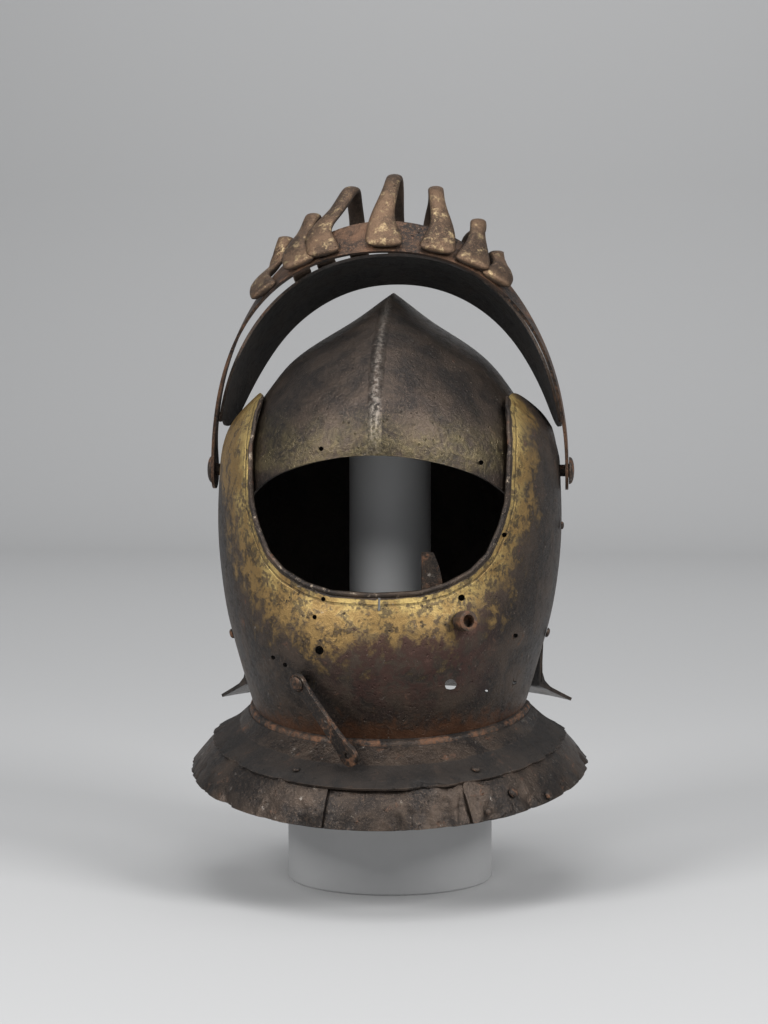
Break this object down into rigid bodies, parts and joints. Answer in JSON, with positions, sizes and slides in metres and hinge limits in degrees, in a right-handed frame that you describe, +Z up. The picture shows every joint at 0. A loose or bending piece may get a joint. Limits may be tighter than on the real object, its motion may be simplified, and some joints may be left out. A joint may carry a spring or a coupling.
{
  "type": "tournament helmet on a display stand",
  "caption": "Old tournament helmet with a raised barred visor, a gilt-edged bevor, gorget plates and a hinged neck stay, on a plain round display stand.",
  "frame": {"origin": "centre of the stand's underside, on the surface it stands on", "axes": "+Z up, -Y the way the helmet faces, +X to the right as seen from the front"},
  "size_m": [0.263, 0.2844, 0.4638],
  "materials": {
    "skull_iron": "dark patinated iron, pitted, with a soft worn sheen",
    "gilt_iron": "dark iron with worn gilding round the face opening",
    "gorget_iron": "dark iron with rust and worn bright spots",
    "visor_iron": "reddish brown rusted iron",
    "bar_iron": "brown iron worn to gold and silver on the edges",
    "rusted_iron": "orange brown rusted iron",
    "stand_paint": "matt pale grey paint"
  },
  "bodies": {
    "helmet_on_stand": {"skull": "skull_iron", "pivot_rivet_left": "rusted_iron", "pivot_rivet_right": "rusted_iron", "stand": "stand_paint"},
    "bevor": {"bevor": "gilt_iron", "neck_ring": "rusted_iron", "gorget_upper_plate": "gorget_iron", "gorget_lower_left": "gorget_iron", "gorget_lower_centre": "gorget_iron", "gorget_lower_right": "gorget_iron", "catch_stud": "rusted_iron", "catch_lever": "rusted_iron", "stay_rivet": "rusted_iron", "side_rivet_left": "gorget_iron", "side_rivet_right_lower": "gorget_iron", "side_rivet_right_upper": "gorget_iron", "gorget_rivet_upper_left": "gorget_iron", "gorget_rivet_upper_right": "gorget_iron", "gorget_rivet_lower_inner": "gorget_iron", "gorget_rivet_lower_middle": "gorget_iron", "gorget_rivet_lower_outer": "gorget_iron"},
    "visor": {"visor_bar_band": "visor_iron", "visor_brow_band": "skull_iron", "visor_bar_1": "bar_iron", "visor_bar_2": "bar_iron", "visor_bar_3": "bar_iron", "visor_bar_4": "bar_iron", "visor_bar_5": "bar_iron", "visor_bar_6": "bar_iron", "visor_bar_7": "bar_iron"},
    "stay_arm": {"stay_arm": "rusted_iron"}
  },
  "joints": [
    {"name": "bevor_hinge", "type": "hinge", "parent": "helmet_on_stand", "child": "bevor", "pos_m": [0, 0, 0.27], "axis": [1, 0, 0], "range_deg": [-35, 0]},
    {"name": "visor_hinge", "type": "hinge", "parent": "bevor", "child": "visor", "pos_m": [0, 0, 0.27], "axis": [1, 0, 0], "range_deg": [0, 100]},
    {"name": "stay_hinge", "type": "hinge", "parent": "bevor", "child": "stay_arm", "pos_m": [-0.04698, -0.11658, 0.14327], "axis": [-0.6154, -0.7417, -0.2669], "range_deg": [0, 60]}
  ]
}
